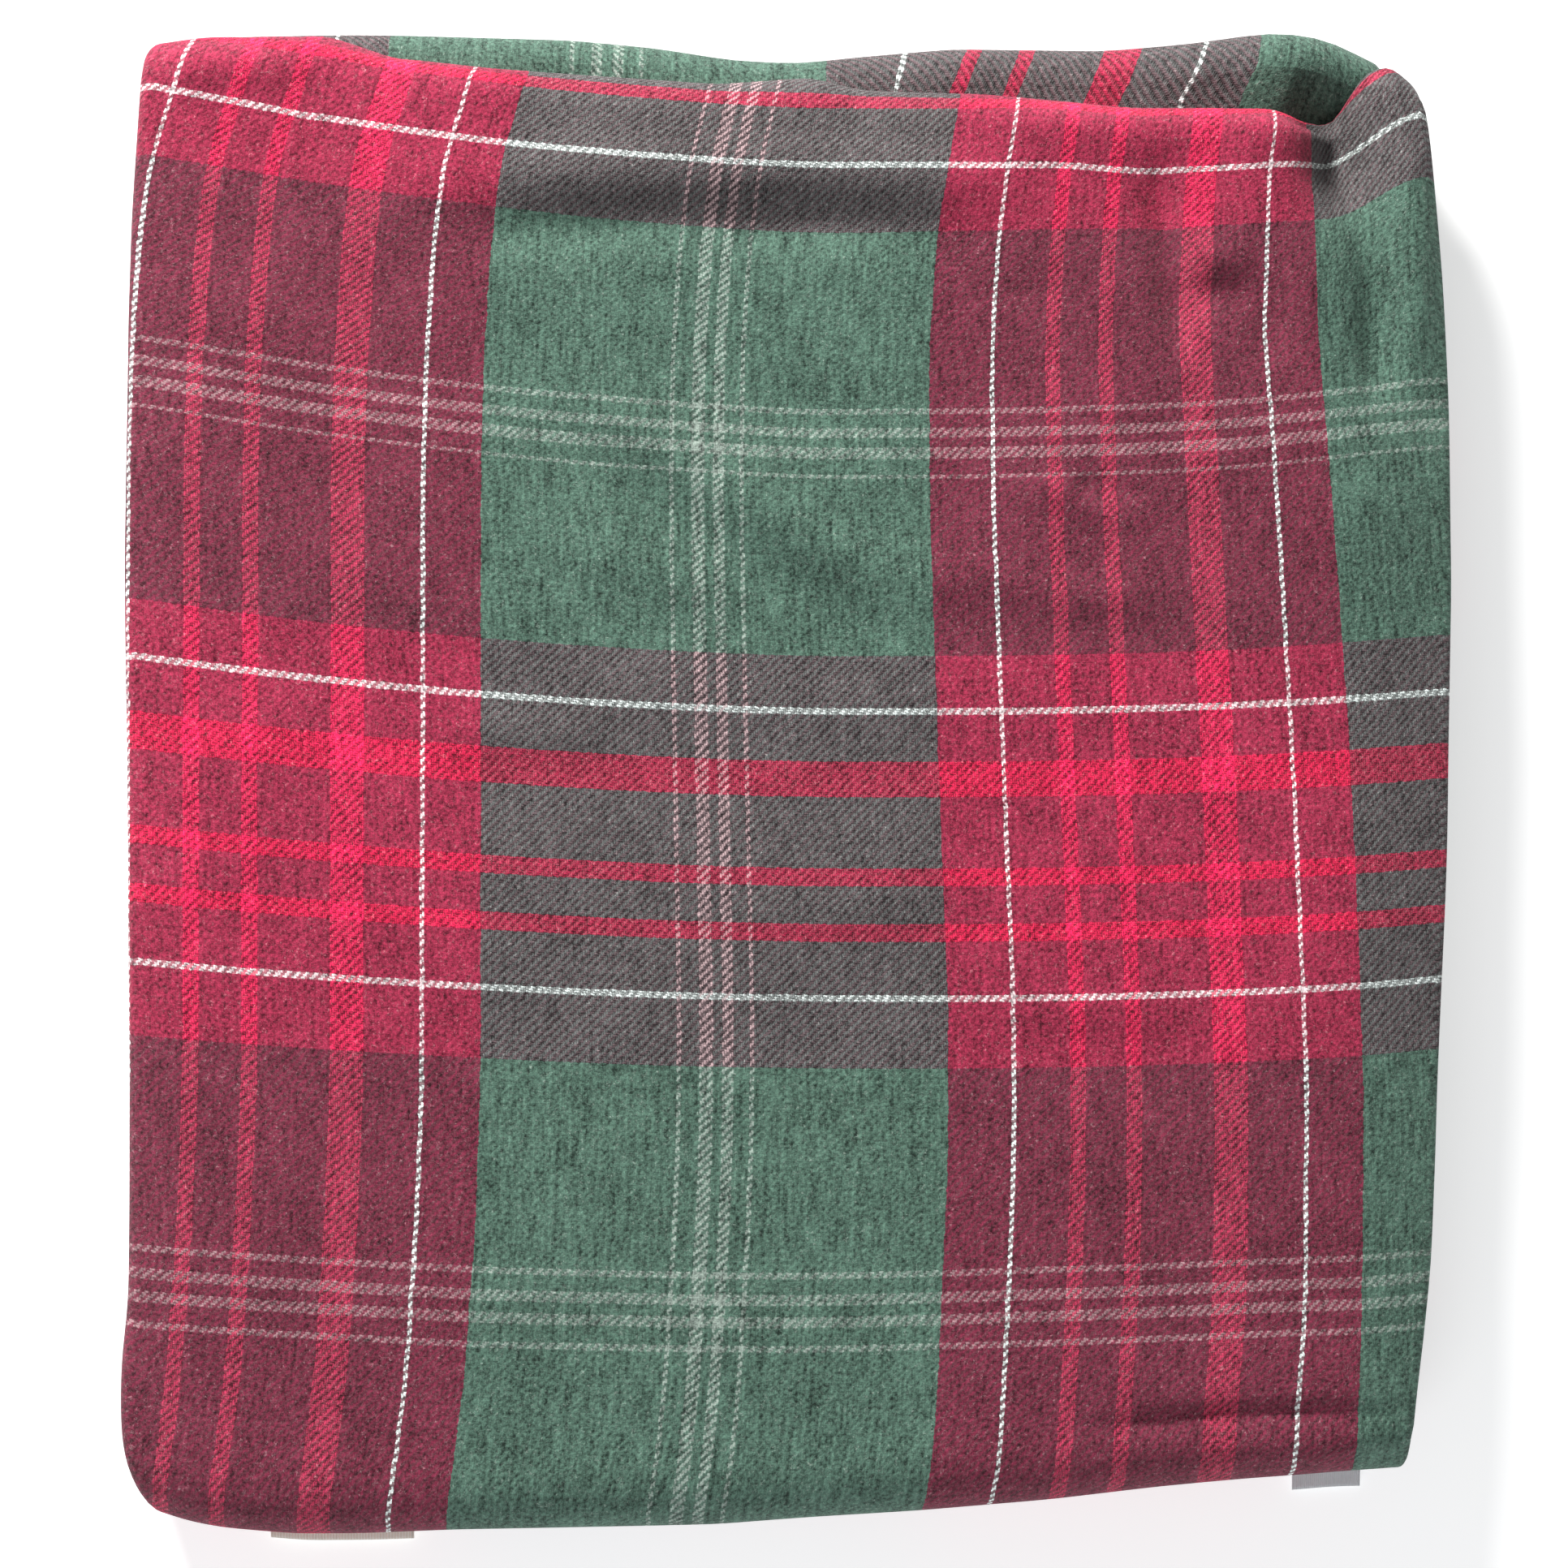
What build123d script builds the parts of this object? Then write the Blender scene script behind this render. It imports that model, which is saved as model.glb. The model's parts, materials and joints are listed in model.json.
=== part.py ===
"""Folded plaid throw blanket, in millimetres.

One rectangular brushed-twill cloth is folded in four across its width, and the
four-layer strip is then folded in four along its length: a bottom panel, a middle
panel over it, and a top panel whose end is tucked under itself.
+X runs across the packet, +Y points to its far edge and +Z is up. The origin is
under the centre of the packet, on the surface that it lies on.
"""

import os

from build123d import *

# Packet
PACKET_WIDTH = 328.0
PACKET_LENGTH = 373.0
LAYERS_PER_PANEL = 4
LAYER_PITCH = 2.6
CORNER_RADIUS = 14.0
NEAR_SLANT = 13.0
SIDE_TAPER = 3.0

# Folds
FOLD_GAP = 0.4
TOP_FOLD_SETBACK = 10.0
END_SETBACK = 3.0

# Hems and the thread that closes them
END_HEM = 15.0
SIDE_HEM = 12.0
SEAM_INSET = 2.0
THREAD_WIDTH = 1.0
THREAD_DEPTH = 0.5

# Labels sewn into the end hem of the bottom panel
LABEL_THICKNESS = 0.8
LABEL_HEIGHT = 3.0
LABEL_ROOT = 10.0
LABEL_OVERHANG = 2.5
WOVEN_LABEL_X, WOVEN_LABEL_WIDTH = -110.0, 38.0
CARE_LABEL_X, CARE_LABEL_WIDTH = 138.0, 22.0

# Places that follow from the dimensions above
PANEL = LAYERS_PER_PANEL * LAYER_PITCH
HALF_GAP = FOLD_GAP / 2
SIDE_HEM_HEIGHT = LAYER_PITCH + 0.6
LEFT, RIGHT = -PACKET_WIDTH / 2, PACKET_WIDTH / 2
SLOPE = NEAR_SLANT / (PACKET_WIDTH - SIDE_TAPER)
LABEL_OUT = LABEL_OVERHANG - SLOPE * (WOVEN_LABEL_X - LEFT)
NEAR = (LABEL_OUT - PACKET_LENGTH) / 2
FAR = NEAR + PACKET_LENGTH
TOP = 4 * PANEL
FAR_LINE, NEAR_LINE = PANEL, 2 * PANEL
ROLL_ROUND = 0.92 * (PANEL - HALF_GAP)
NEAR_ROLL_ROUND = 1.4 * PANEL
SIDE_HEM_START = PANEL + END_SETBACK + END_HEM + 2.0
WIDE = PACKET_WIDTH + 20.0


def block(x_range, y_range, z_range):
    """A box between two limits on each axis."""
    limits = (x_range, y_range, z_range)
    size = [high - low for low, high in limits]
    centre = [(high + low) / 2 for low, high in limits]
    return Pos(*centre) * Box(*size)


def near_edge(x_place):
    """Where the slanting near edge of the packet lies at a place across it."""
    return NEAR + SLOPE * (x_place - LEFT)


def slab(inset, far, z_range):
    """A slab wider than the packet, its near face set in from the near edge and along it."""
    corners = [
        (-WIDE / 2, near_edge(-WIDE / 2) + inset),
        (WIDE / 2, near_edge(WIDE / 2) + inset),
        (WIDE / 2, far),
        (-WIDE / 2, far),
    ]
    low, high = z_range
    face = make_face(Polyline(*corners, close=True))
    return Pos(0, 0, low) * extrude(face, amount=high - low)


def rounded(solid, y_place, z_place, radius):
    """The solid with the edge across the packet at a place rounded as a fold is."""
    place = Vector(0, y_place, z_place)
    edge = sorted(solid.edges(), key=lambda each: (each.center() - place).length)[0]
    return fillet(edge, radius)


def outline():
    """The packet's outline from above, with soft corners and a slanting near edge."""
    corners = [
        (LEFT, NEAR),
        (RIGHT - SIDE_TAPER, NEAR + NEAR_SLANT),
        (RIGHT, FAR),
        (LEFT + SIDE_TAPER, FAR),
    ]
    face = make_face(Polyline(*corners, close=True))
    return extrude(fillet(face.vertices(), CORNER_RADIUS), amount=TOP)


def carve(solid, tool):
    """The solid without the tool's volume, and the piece that the tool takes out."""
    return solid - tool, solid & tool


def side_hem(panel, z_range, outer_z):
    """Splits off the hem along the left side and the thread in its outer face."""
    seam = LEFT + SIDE_HEM - SEAM_INSET
    inward = THREAD_DEPTH if outer_z == z_range[0] else -THREAD_DEPTH
    groove_z = tuple(sorted((outer_z, outer_z + inward)))
    lengthwise = (NEAR + SIDE_HEM_START, FAR - CORNER_RADIUS - TOP_FOLD_SETBACK)
    panel, hem = carve(panel, block((LEFT - 5, LEFT + SIDE_HEM), lengthwise, z_range))
    hem, thread = carve(hem, block((seam - THREAD_WIDTH, seam), lengthwise, groove_z))
    return panel, hem, thread


def end_hem(panel, inset, z_range):
    """Splits off the hem along a free end and the thread in its top face."""
    seam = inset + END_HEM - SEAM_INSET
    groove_z = (z_range[1] - THREAD_DEPTH, z_range[1])
    panel, hem = carve(panel, slab(inset - 1, 0, z_range) - slab(inset + END_HEM, 0, z_range))
    groove = slab(seam - THREAD_WIDTH, 0, groove_z) - slab(seam, 0, groove_z)
    hem, thread = carve(hem, groove)
    return panel, hem, thread


def bottom_panel():
    """The lowest panel: a fold at the far edge and a free, hemmed end at the near edge."""
    z_range = (0, PANEL - HALF_GAP)
    solid = slab(END_SETBACK, FAR, z_range)
    solid = rounded(solid, FAR, 0, ROLL_ROUND) & outline()
    solid, side, side_thread = side_hem(solid, (0, SIDE_HEM_HEIGHT), 0)
    solid, end, end_thread = end_hem(solid, END_SETBACK, z_range)
    return {
        "bottom_panel": solid,
        "bottom_side_hem": side,
        "bottom_side_thread": side_thread,
        "bottom_end_hem": end,
        "bottom_end_thread": end_thread,
    }


def middle_panel():
    """The panel above it, folded at both ends."""
    low, high = PANEL + HALF_GAP, 2 * PANEL - HALF_GAP
    solid = slab(HALF_GAP, FAR - HALF_GAP, (low, high))
    solid = rounded(solid, FAR, high, ROLL_ROUND)
    solid = rounded(solid, near_edge(0), low, ROLL_ROUND) & outline()
    solid, side, thread = side_hem(solid, (high - SIDE_HEM_HEIGHT, high), high)
    return {"middle_panel": solid, "middle_side_hem": side, "middle_side_thread": thread}


def top_panel():
    """The uppermost panel, wrapped round the end of the tucked panel at the near edge."""
    low, floor = 2 * PANEL + HALF_GAP, 3 * PANEL
    far = FAR - TOP_FOLD_SETBACK
    solid = slab(HALF_GAP, far, (low, TOP))
    solid = rounded(solid, near_edge(0), TOP, NEAR_ROLL_ROUND)
    solid = rounded(solid, far, TOP, ROLL_ROUND)
    solid -= slab(PANEL, far + 1, (low - 1, floor))
    solid &= outline()
    solid, side, thread = side_hem(solid, (floor, floor + SIDE_HEM_HEIGHT), floor)
    return {"top_panel": solid, "top_side_hem": side, "top_side_thread": thread}


def tucked_panel():
    """The far end of the strip, turned in under the top panel."""
    low, high = 2 * PANEL + HALF_GAP, 3 * PANEL - HALF_GAP
    inset, far = PANEL + END_SETBACK, FAR - TOP_FOLD_SETBACK
    solid = slab(inset, far, (low, high))
    solid = rounded(solid, far, low, ROLL_ROUND) & outline()
    solid, side, side_thread = side_hem(solid, (high - SIDE_HEM_HEIGHT, high), high)
    solid, end, end_thread = end_hem(solid, inset, (low, high))
    return {
        "tucked_panel": solid,
        "tucked_side_hem": side,
        "tucked_side_thread": side_thread,
        "tucked_end_hem": end,
        "tucked_end_thread": end_thread,
    }


def label(x_centre, width):
    """A blank label whose root is caught in the hem and whose end stands out of it."""
    x_range = (x_centre - width / 2, x_centre + width / 2)
    z_range = (LABEL_HEIGHT, LABEL_HEIGHT + LABEL_THICKNESS)
    edge = near_edge(x_centre)
    return block(x_range, (edge - LABEL_OVERHANG, edge + END_SETBACK + LABEL_ROOT), z_range)


def blanket():
    """Every sub-part by its name."""
    parts = bottom_panel() | middle_panel() | top_panel() | tucked_panel()
    parts["woven_label"] = label(WOVEN_LABEL_X, WOVEN_LABEL_WIDTH)
    parts["care_label"] = label(CARE_LABEL_X, CARE_LABEL_WIDTH)
    for name in ("woven_label", "care_label"):
        parts["bottom_end_hem"] -= parts[name]
    return parts


os.makedirs("parts", exist_ok=True)
for name, solid in blanket().items():
    export_step(solid, f"parts/{name}.step")
print("hinge lines: far", FAR, FAR_LINE, "near", NEAR, NEAR_LINE)
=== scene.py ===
"""Looks of the folded plaid blanket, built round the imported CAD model, in metres.

The cloth is one sheet folded in four across its width (a width profile) and in four
along its length (a path of panels and rolls). Every piece sweeps a stretch of the
profile along a stretch of the path, and then takes the packet's outline and wrinkles.
"""
import json
import math

import bpy
import numpy as np
from mathutils import Vector
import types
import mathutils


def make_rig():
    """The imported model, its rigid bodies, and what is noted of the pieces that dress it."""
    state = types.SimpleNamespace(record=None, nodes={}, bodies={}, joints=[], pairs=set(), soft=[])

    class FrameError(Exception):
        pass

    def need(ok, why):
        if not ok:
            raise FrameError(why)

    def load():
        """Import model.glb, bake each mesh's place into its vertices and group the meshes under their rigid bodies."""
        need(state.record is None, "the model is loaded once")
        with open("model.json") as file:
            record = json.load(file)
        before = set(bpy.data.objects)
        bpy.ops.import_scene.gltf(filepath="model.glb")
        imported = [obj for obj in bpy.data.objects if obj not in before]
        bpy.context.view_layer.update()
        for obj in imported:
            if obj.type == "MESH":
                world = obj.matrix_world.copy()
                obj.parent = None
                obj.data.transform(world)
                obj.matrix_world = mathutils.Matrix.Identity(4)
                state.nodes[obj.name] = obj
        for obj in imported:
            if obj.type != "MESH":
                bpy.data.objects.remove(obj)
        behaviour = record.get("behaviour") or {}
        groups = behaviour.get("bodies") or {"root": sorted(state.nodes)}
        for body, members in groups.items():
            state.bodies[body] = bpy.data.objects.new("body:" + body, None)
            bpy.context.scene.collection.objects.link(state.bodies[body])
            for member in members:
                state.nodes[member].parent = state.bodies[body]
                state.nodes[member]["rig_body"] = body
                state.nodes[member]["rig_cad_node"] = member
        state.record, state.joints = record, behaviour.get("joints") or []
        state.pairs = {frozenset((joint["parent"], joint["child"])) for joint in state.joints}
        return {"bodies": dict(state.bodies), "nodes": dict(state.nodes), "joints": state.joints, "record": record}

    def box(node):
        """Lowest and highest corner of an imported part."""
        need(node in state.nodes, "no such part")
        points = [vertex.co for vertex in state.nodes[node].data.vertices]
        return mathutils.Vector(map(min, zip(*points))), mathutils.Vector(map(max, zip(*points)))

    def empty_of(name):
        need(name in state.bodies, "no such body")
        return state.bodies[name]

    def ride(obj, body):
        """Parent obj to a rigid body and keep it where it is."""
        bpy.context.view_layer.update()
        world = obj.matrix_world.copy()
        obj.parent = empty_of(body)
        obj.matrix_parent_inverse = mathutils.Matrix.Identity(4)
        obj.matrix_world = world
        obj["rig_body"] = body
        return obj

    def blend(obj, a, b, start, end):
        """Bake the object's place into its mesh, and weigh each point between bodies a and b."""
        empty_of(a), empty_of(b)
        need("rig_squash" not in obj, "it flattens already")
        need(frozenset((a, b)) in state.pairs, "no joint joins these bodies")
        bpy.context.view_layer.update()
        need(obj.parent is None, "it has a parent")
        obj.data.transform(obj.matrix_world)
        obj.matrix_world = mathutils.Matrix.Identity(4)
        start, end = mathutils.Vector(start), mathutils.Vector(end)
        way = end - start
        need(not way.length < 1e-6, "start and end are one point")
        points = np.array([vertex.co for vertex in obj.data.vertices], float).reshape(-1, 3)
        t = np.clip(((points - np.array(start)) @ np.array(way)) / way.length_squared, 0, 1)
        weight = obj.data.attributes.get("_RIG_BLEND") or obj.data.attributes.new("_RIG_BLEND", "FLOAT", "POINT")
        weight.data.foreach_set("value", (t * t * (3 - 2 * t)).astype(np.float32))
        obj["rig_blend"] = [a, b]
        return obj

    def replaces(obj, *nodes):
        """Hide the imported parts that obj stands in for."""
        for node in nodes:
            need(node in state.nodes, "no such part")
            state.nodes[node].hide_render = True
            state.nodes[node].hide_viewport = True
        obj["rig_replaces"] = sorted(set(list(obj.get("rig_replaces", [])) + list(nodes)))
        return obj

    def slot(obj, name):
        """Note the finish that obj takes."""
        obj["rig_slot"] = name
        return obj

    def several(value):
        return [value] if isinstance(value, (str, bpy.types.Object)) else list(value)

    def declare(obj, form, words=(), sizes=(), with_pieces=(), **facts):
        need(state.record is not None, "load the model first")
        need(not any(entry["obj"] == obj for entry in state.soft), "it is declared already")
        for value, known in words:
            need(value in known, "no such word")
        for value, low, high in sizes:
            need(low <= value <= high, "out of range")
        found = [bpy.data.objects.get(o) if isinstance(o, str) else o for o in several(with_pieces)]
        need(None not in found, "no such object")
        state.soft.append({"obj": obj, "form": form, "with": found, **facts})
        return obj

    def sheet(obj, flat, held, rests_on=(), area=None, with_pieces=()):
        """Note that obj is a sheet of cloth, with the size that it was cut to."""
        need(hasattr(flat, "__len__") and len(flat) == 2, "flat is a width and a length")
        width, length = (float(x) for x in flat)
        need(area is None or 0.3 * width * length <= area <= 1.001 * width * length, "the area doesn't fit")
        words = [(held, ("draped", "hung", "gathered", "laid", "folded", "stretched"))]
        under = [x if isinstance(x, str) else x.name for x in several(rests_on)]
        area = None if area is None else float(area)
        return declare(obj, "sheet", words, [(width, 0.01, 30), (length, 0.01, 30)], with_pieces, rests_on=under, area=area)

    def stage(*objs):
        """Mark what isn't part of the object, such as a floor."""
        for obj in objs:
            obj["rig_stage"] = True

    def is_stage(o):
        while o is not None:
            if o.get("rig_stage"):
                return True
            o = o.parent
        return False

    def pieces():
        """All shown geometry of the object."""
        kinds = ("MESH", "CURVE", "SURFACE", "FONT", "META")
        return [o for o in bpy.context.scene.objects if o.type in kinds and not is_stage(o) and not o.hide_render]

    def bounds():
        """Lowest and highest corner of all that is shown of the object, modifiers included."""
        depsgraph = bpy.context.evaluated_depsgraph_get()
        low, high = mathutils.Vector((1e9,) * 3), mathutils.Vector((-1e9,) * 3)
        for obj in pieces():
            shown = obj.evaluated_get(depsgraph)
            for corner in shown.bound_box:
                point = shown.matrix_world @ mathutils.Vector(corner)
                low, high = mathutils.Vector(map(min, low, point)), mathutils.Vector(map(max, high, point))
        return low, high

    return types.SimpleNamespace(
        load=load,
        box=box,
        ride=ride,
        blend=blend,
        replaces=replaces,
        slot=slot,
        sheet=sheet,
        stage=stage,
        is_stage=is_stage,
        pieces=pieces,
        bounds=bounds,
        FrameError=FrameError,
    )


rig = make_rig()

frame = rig.load()
CAD_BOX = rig.bounds()

# ---------------------------------------------------------------- dimensions
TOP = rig.box("top_panel")[1][2]
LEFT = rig.box("bottom_panel")[0][0]
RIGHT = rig.box("bottom_panel")[1][0]
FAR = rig.box("bottom_panel")[1][1]
TOP_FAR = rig.box("top_panel")[1][1]
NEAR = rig.box("middle_panel")[0][1]
PANEL = TOP / 4  # one four-layer panel
PITCH = PANEL / 4  # one layer
HALF_WIDTH = (RIGHT - LEFT) / 2
HALF_LENGTH = (FAR - NEAR) / 2
CLOTH_HALF = 0.00105  # half the cloth's thickness
MM = 0.001

SIDE_HEM, END_HEM, HEM_HALF = 0.012, 0.015, 0.00138
INNER_FOLD = RIGHT - 0.0181  # where the two lower layers of each panel turn
TUCK_LEFT = LEFT + 2.7 * PITCH  # where the second layer from the top ends
HEM_LEFT = LEFT + 0.003  # where the lowest layer ends
SLACK = 0.013  # cloth taken up by the loose roll at the near edge
END_SCALE = 1.18  # an end hem's thickness beside the cloth's
STITCH_LENGTH, STITCH_STEP, STITCH_HALF = 0.0023, 0.0030, 0.00030
STITCH_INSET = 0.002  # from a hem's inner edge to its stitches
STITCH_PROUD = 0.3 * STITCH_HALF  # from the cloth's surface up to a stitch's middle
LABEL_Z, LABEL_HALF = 0.0034, 0.00032

# Where the rolls' axes lie, where the widthwise folds turn, and where the cloth ends
NEAR_AXIS = NEAR + PANEL / 2 + 3.5 * PITCH + CLOTH_HALF
FAR_AXIS = FAR - 3.5 * PITCH - CLOTH_HALF
TOP_AXIS = TOP_FAR - 3.5 * PITCH - CLOTH_HALF
RIGHT_TURN, LEFT_TURN = RIGHT - PITCH / 2, LEFT + PITCH
BOTTOM_END = NEAR + 0.006
TUCKED_END = NEAR + PANEL + 0.006
UPPER_KINDS = ("top", "top_roll", "tucked")  # stretches of the path in the top two panels

# Mesh steps of the seen and hidden cloth, and of the rolls, in metres and radians
SEEN, HIDDEN, COARSE, END_STEP, ROLL = 0.0021, 0.0055, 0.0100, 0.003, math.pi / 14

# The plaid: repeats, and stripes from each band's start, in millimetres
WARP_REPEAT, WARP_START, WARP_BAND = 214.4, 37.9, 101.7
WEFT_REPEAT, WEFT_START, WEFT_BAND = 221.5, -70.2, 102.3
WARP_REDS = [(29.6, 33.4), (43.4, 47.1), (64.9, 73.2)]
WEFT_REDS = [(31.2, 35.4), (45.0, 49.3), (66.8, 75.6)]
WARP_WHITES, WEFT_WHITES = [(15.7, 16.8), (87.0, 88.1)], [(16.1, 17.7), (87.4, 89.0)]
WARP_PALES = [(149.0, 150.3), (154.6, 157.7), (160.2, 163.0), (166.6, 167.9)]
WEFT_PALES = [(150.9, 152.4), (156.8, 159.6), (162.6, 165.3), (169.3, 170.8)]
THREAD = 0.55  # from one thread to the next


# ------------------------------------------------------------------- helpers
def smooth(value, low, high):
    """0 below low, 1 above high, and an easy curve between."""
    share = np.clip((value - low) / (high - low), 0, 1)
    return share * share * (3 - 2 * share)


def soft_line(points, softness=0.035):
    """A function through a few (place, value) points, with its corners rounded."""
    step, reach = 0.005, 40
    places = np.linspace(-1.3, 1.3, 521)
    values = np.interp(places, [p for p, _ in points], [v for _, v in points])
    kernel = np.exp(-0.5 * (np.arange(-reach, reach + 1) * step / softness) ** 2)
    padded = np.pad(values, reach, mode="edge")
    values = np.convolve(padded, kernel / kernel.sum(), mode="valid")
    return lambda place: np.interp(place, places, values)


def bump(x, y, centre, size, turn):
    """A soft mound of height 1 at centre, with half-widths size, turned by degrees."""
    c, s = math.cos(math.radians(turn)), math.sin(math.radians(turn))
    dx, dy = x - centre[0], y - centre[1]
    along, across = (c * dx + s * dy) / size[0], (c * dy - s * dx) / size[1]
    return np.exp(-along * along - across * across)


def crease(x, y, start, end, width, bend):
    """A ridge of height 1 from start to end, bowed by bend, that fades out at both ends."""
    sx, sy = start
    dx, dy = end[0] - sx, end[1] - sy
    length = math.hypot(dx, dy)
    along = ((x - sx) * dx + (y - sy) * dy) / length**2
    across = ((y - sy) * dx - (x - sx) * dy) / length
    across = across - bend * np.sin(np.clip(along, 0, 1) * math.pi)
    fade = smooth(along, -0.25, 0.2) * (1 - smooth(along, 0.75, 1.2))
    return np.exp(-((across / width) ** 2)) * fade


# ---------------------------------------------- outline and wrinkles, in mm
UPPER_FAR = soft_line(
    [(-1, 8), (-0.9, 9.5), (-0.7, 9.8), (-0.6, 4.5), (-0.45, 1.8), (-0.1, -2.2), (0.04, -0.6),
     (0.12, -3.8), (0.3, -4.6), (0.53, -8.1), (0.66, -8.1), (0.76, -8.6), (0.81, -10),
     (0.88, -10), (0.915, 1), (0.94, 2.5), (0.97, 2.5), (1, -2)], 0.013
)
LOWER_FAR = soft_line(
    [(-1, -2), (-0.9, 3), (-0.66, 3.7), (-0.33, 2.2), (-0.2, 0.2), (-0.08, -2.9), (0.02, -3.7),
     (0.12, -2), (0.26, 0), (0.5, -0.6), (0.62, 1), (0.72, 3.6), (0.78, 3), (0.84, 0),
     (0.89, -4), (0.95, -5), (1, -8)], 0.02
)
NEAR_EDGE = soft_line(
    [(-1, 4), (-0.95, 1.5), (-0.88, -0.5), (-0.76, -2), (-0.65, -2), (-0.5, -1), (-0.1, 0.3),
     (0.04, 2), (0.22, 4), (0.41, 6.5), (0.58, 9.6), (0.73, 11.8), (0.88, 13.5), (1, 14)], 0.02
)
RIGHT_EDGE = soft_line(
    [(-1, -9), (-0.9, -7.5), (-0.8, -5.5), (-0.68, -3.8), (-0.4, -2), (-0.1, 0.4), (0.25, 1.4),
     (0.5, 1), (0.66, -0.6), (0.8, -3), (0.9, -5), (0.95, -7), (1, -10)], 0.03
)
LEFT_EDGE = soft_line(
    [(-1, 7), (-0.95, 2), (-0.9, 0), (-0.8, 0), (-0.7, 2), (-0.4, 2.2), (0, 1.6), (0.3, 1),
     (0.6, 1.8), (0.75, 3), (0.9, 5), (0.96, 6), (1, 9)], 0.03
)

# Where stripes wander from a straight grid: along the length, beside four of the warp lines
STRAY_LEFT = soft_line(
    [(-1, -9.8), (-0.9, -6.8), (-0.79, -4.3), (-0.6, -1.8), (-0.4, -0.4), (0.4, 0), (0.55, 0.6),
     (0.72, 2.7), (0.83, 5.4), (0.93, 11.3), (1, 16)], 0.03
)
STRAY_MIDDLE = soft_line(
    [(-1, -4), (-0.9, -0.8), (-0.79, 0.4), (-0.5, 2.8), (-0.3, 2.8), (0.07, 0), (0.35, -2),
     (0.57, -2.2), (0.72, -0.4), (0.83, 2.8), (0.93, 6.5), (1, 9)], 0.03
)
STRAY_RIGHT = soft_line(
    [(-1, 0), (-0.85, 1.2), (-0.68, 3.6), (-0.4, 3.9), (0.07, 0), (0.4, -3.8), (0.6, -6.6),
     (0.83, -5.6), (0.9, -3), (1, 1)], 0.03
)
STRAY_BAND_END = soft_line(
    [(-1, 1.6), (-0.68, 3.2), (-0.4, 3.7), (0.07, 0), (0.4, -5), (0.66, -9.4), (0.83, -12),
     (1, -13)], 0.03
)
CROWDING = soft_line(
    [(-1, -4), (-0.95, -1.2), (-0.9, 0), (0.16, 0), (0.3, -3), (0.45, -6.6), (0.6, -10.8),
     (0.73, -14.7), (0.85, -15.8)], 0.025
)
# How the fine lines bow besides: across the upper and lower group, and where each holds
UPPER_BOW = soft_line(
    [(-1, 4.2), (-0.93, 3.8), (-0.73, 2.6), (-0.37, 1.2), (0.05, -0.1), (0.4, 0.3), (0.66, 1.1),
     (0.75, 1.8), (0.92, 3.9), (1, 4.5)]
)
UPPER_HOLD = soft_line([(-1, 0), (0.1, 0), (0.2, 0.3), (0.4, 1), (0.6, 1), (0.83, 0.15), (1, 0)])
LOWER_BOW = soft_line(
    [(-1, 2.1), (-0.93, 1.9), (-0.75, 1.1), (-0.45, 0.1), (0, 0), (0.28, 1.1), (0.4, 1.7),
     (0.75, 2.2), (0.92, 1.4), (1, 1.2)]
)
LOWER_HOLD = soft_line([(-1, 1), (-0.65, 1), (-0.45, 0.15), (-0.38, 0), (1, 0)])


def shares(x, y):
    """A place as shares of the half width and half length, from -1 to 1."""
    return x / HALF_WIDTH, (y - (FAR + NEAR) / 2) / HALF_LENGTH


def place_in_plan(x, y, upper):
    """Moves straight-packet places to the packet's real outline.

    Upper is 1 on the top two panels, and 0 on the lower two, whose far right part puffs out.
    """
    a, b = shares(x, y)
    shift_x = RIGHT_EDGE(b) * np.clip(a, 0, 1.1) ** 3 + LEFT_EDGE(b) * np.clip(-a, 0, 1.1) ** 3
    puff = 10 * smooth(a, 0.45, 0.85) * smooth(-a, -1.0, -0.92) * smooth(b, 0.8, 0.97)
    shift_x = shift_x + np.where(upper > 0.5, 0, puff)
    far = np.where(upper > 0.5, UPPER_FAR(a), LOWER_FAR(a))
    shift_y = far * smooth(b, 0.45, 0.95) + NEAR_EDGE(a) * smooth(-b, 0.45, 0.95)
    return x + shift_x * MM, y + shift_y * MM


# Creases of the top surface: height, start, end, width and bend
TOP_CREASES = [
    # Down from the notch beside the right strip
    (-5.5, (141, 156), (147, 95), 5.5, 2),
    (3.5, (157, 165), (157, 105), 5, 0),
    (-4.2, (93, 150), (98, 108), 4.5, 0),
    (2.4, (60, 74), (90, 68), 5, 0),
    # The top fold's hump, and puckers along the far left
    (3.6, (-70, 151), (52, 150), 7, 2),
    (-3.6, (-68, 137), (48, 136), 6, 2),
    (2.2, (55, 163), (104, 164), 8, 0),
    (2.6, (-152, 178), (-122, 177), 6, 0),
    (-2.2, (-128, 186), (-112, 150), 4, 0),
    (-2.0, (-106, 190), (-98, 168), 4, 0),
    # Long slanting folds across the green
    (3.3, (-45, 93), (34, 46), 8, -2),
    (-0.9, (-40, 78), (22, 39), 8, -2),
    (2.4, (36, 53), (94, 46), 6, -2),
    (2.2, (-48, 60), (-14, 46), 7, 0),
    (-3.2, (73, 74), (88, 70), 4, 0),
    # Low waves over the lower half
    (1.6, (-78, 13), (-45, 12), 6, 0),
    (1.3, (-8, -31), (34, -31), 6, 0),
    (1.5, (66, -57), (94, -57), 5, 0),
    (1.4, (-40, 24), (60, 18), 9, 0),
    (-3.2, (84, -159), (148, -156), 2.7, 1.5),
]
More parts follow.
